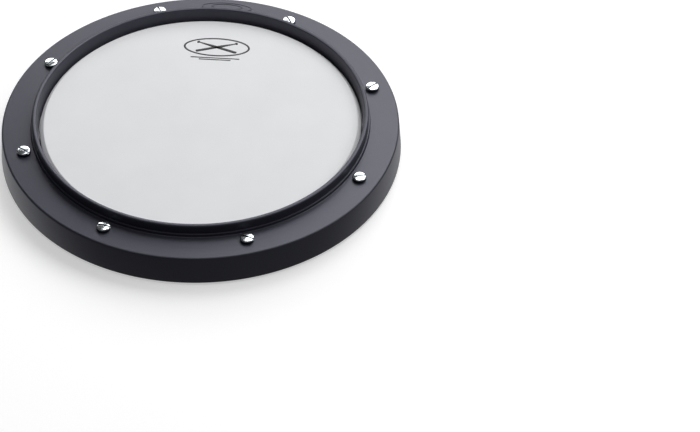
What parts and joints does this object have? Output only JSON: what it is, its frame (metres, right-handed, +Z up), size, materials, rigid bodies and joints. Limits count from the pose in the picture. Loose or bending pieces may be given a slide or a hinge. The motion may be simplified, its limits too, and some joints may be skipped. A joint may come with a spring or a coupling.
{
  "type": "practice pad",
  "caption": "Round tunable drum practice pad: coated drumhead over foam, held by a grey moulded rim with slotted tension screws, on rubber feet.",
  "frame": {"origin": "centre of the pad on the surface its rubber feet stand on", "axes": "+Z up out of the drumhead, along the pad's axis; +Y away from the player, towards the printed mark; +X to the player's right"},
  "size_m": [0.3186, 0.3186, 0.0359],
  "materials": {
    "rim_plastic": "satin moulded plastic, blue-grey",
    "base_plastic": "matte moulded plastic, dark grey",
    "coated_film": "sprayed matte coating on clear polyester film, light grey",
    "foam": null,
    "nickel": "bright nickel plate",
    "zinc": "bright zinc-plated steel",
    "hoop_aluminium": "rolled aluminium",
    "insert_brass": "turned brass",
    "foot_rubber": "moulded black rubber"
  },
  "bodies": {
    "base": {"base_pan": "base_plastic", "foam_disc": "foam", "drumhead": "coated_film", "stand_insert": "insert_brass", "foot_1": "foot_rubber", "foot_2": "foot_rubber", "foot_3": "foot_rubber", "foot_4": "foot_rubber", "tension_nut_1": "zinc", "tension_nut_2": "zinc", "tension_nut_3": "zinc", "tension_nut_4": "zinc", "tension_nut_5": "zinc", "tension_nut_6": "zinc", "tension_nut_7": "zinc", "tension_nut_8": "zinc"},
    "rim": {"rim": "rim_plastic", "flesh_hoop": "hoop_aluminium"},
    "screw_1": {"tension_screw_1": "nickel"},
    "screw_2": {"tension_screw_2": "nickel"},
    "screw_3": {"tension_screw_3": "nickel"},
    "screw_4": {"tension_screw_4": "nickel"},
    "screw_5": {"tension_screw_5": "nickel"},
    "screw_6": {"tension_screw_6": "nickel"},
    "screw_7": {"tension_screw_7": "nickel"},
    "screw_8": {"tension_screw_8": "nickel"}
  },
  "joints": [
    {"name": "rim_draw", "type": "slide", "parent": "base", "child": "rim", "axis": [0, 0, 1], "range_m": [-0.00106, 0.00317]},
    {"name": "screw_1_turn", "type": "hinge", "parent": "rim", "child": "screw_1", "pos_m": [0.13138, 0.05442, 0.0255], "axis": [0, 0, 1], "range_deg": [-362, 1082]},
    {"name": "screw_2_turn", "type": "hinge", "parent": "rim", "child": "screw_2", "pos_m": [0.05442, 0.13138, 0.0255], "axis": [0, 0, 1], "range_deg": [-362, 1082]},
    {"name": "screw_3_turn", "type": "hinge", "parent": "rim", "child": "screw_3", "pos_m": [-0.05442, 0.13138, 0.0255], "axis": [0, 0, 1], "range_deg": [-362, 1082]},
    {"name": "screw_4_turn", "type": "hinge", "parent": "rim", "child": "screw_4", "pos_m": [-0.13138, 0.05442, 0.0255], "axis": [0, 0, 1], "range_deg": [-362, 1082]},
    {"name": "screw_5_turn", "type": "hinge", "parent": "rim", "child": "screw_5", "pos_m": [-0.13138, -0.05442, 0.0255], "axis": [0, 0, 1], "range_deg": [-362, 1082]},
    {"name": "screw_6_turn", "type": "hinge", "parent": "rim", "child": "screw_6", "pos_m": [-0.05442, -0.13138, 0.0255], "axis": [0, 0, 1], "range_deg": [-362, 1082]},
    {"name": "screw_7_turn", "type": "hinge", "parent": "rim", "child": "screw_7", "pos_m": [0.05442, -0.13138, 0.0255], "axis": [0, 0, 1], "range_deg": [-362, 1082]},
    {"name": "screw_8_turn", "type": "hinge", "parent": "rim", "child": "screw_8", "pos_m": [0.13138, -0.05442, 0.0255], "axis": [0, 0, 1], "range_deg": [-362, 1082]}
  ],
  "couplings": [
    {"joint": "screw_1_turn", "follows": "rim_draw", "rad_per_m": 5936.9},
    {"joint": "screw_2_turn", "follows": "rim_draw", "rad_per_m": 5936.9},
    {"joint": "screw_3_turn", "follows": "rim_draw", "rad_per_m": 5936.9},
    {"joint": "screw_4_turn", "follows": "rim_draw", "rad_per_m": 5936.9},
    {"joint": "screw_5_turn", "follows": "rim_draw", "rad_per_m": 5936.9},
    {"joint": "screw_6_turn", "follows": "rim_draw", "rad_per_m": 5936.9},
    {"joint": "screw_7_turn", "follows": "rim_draw", "rad_per_m": 5936.9},
    {"joint": "screw_8_turn", "follows": "rim_draw", "rad_per_m": 5936.9}
  ]
}
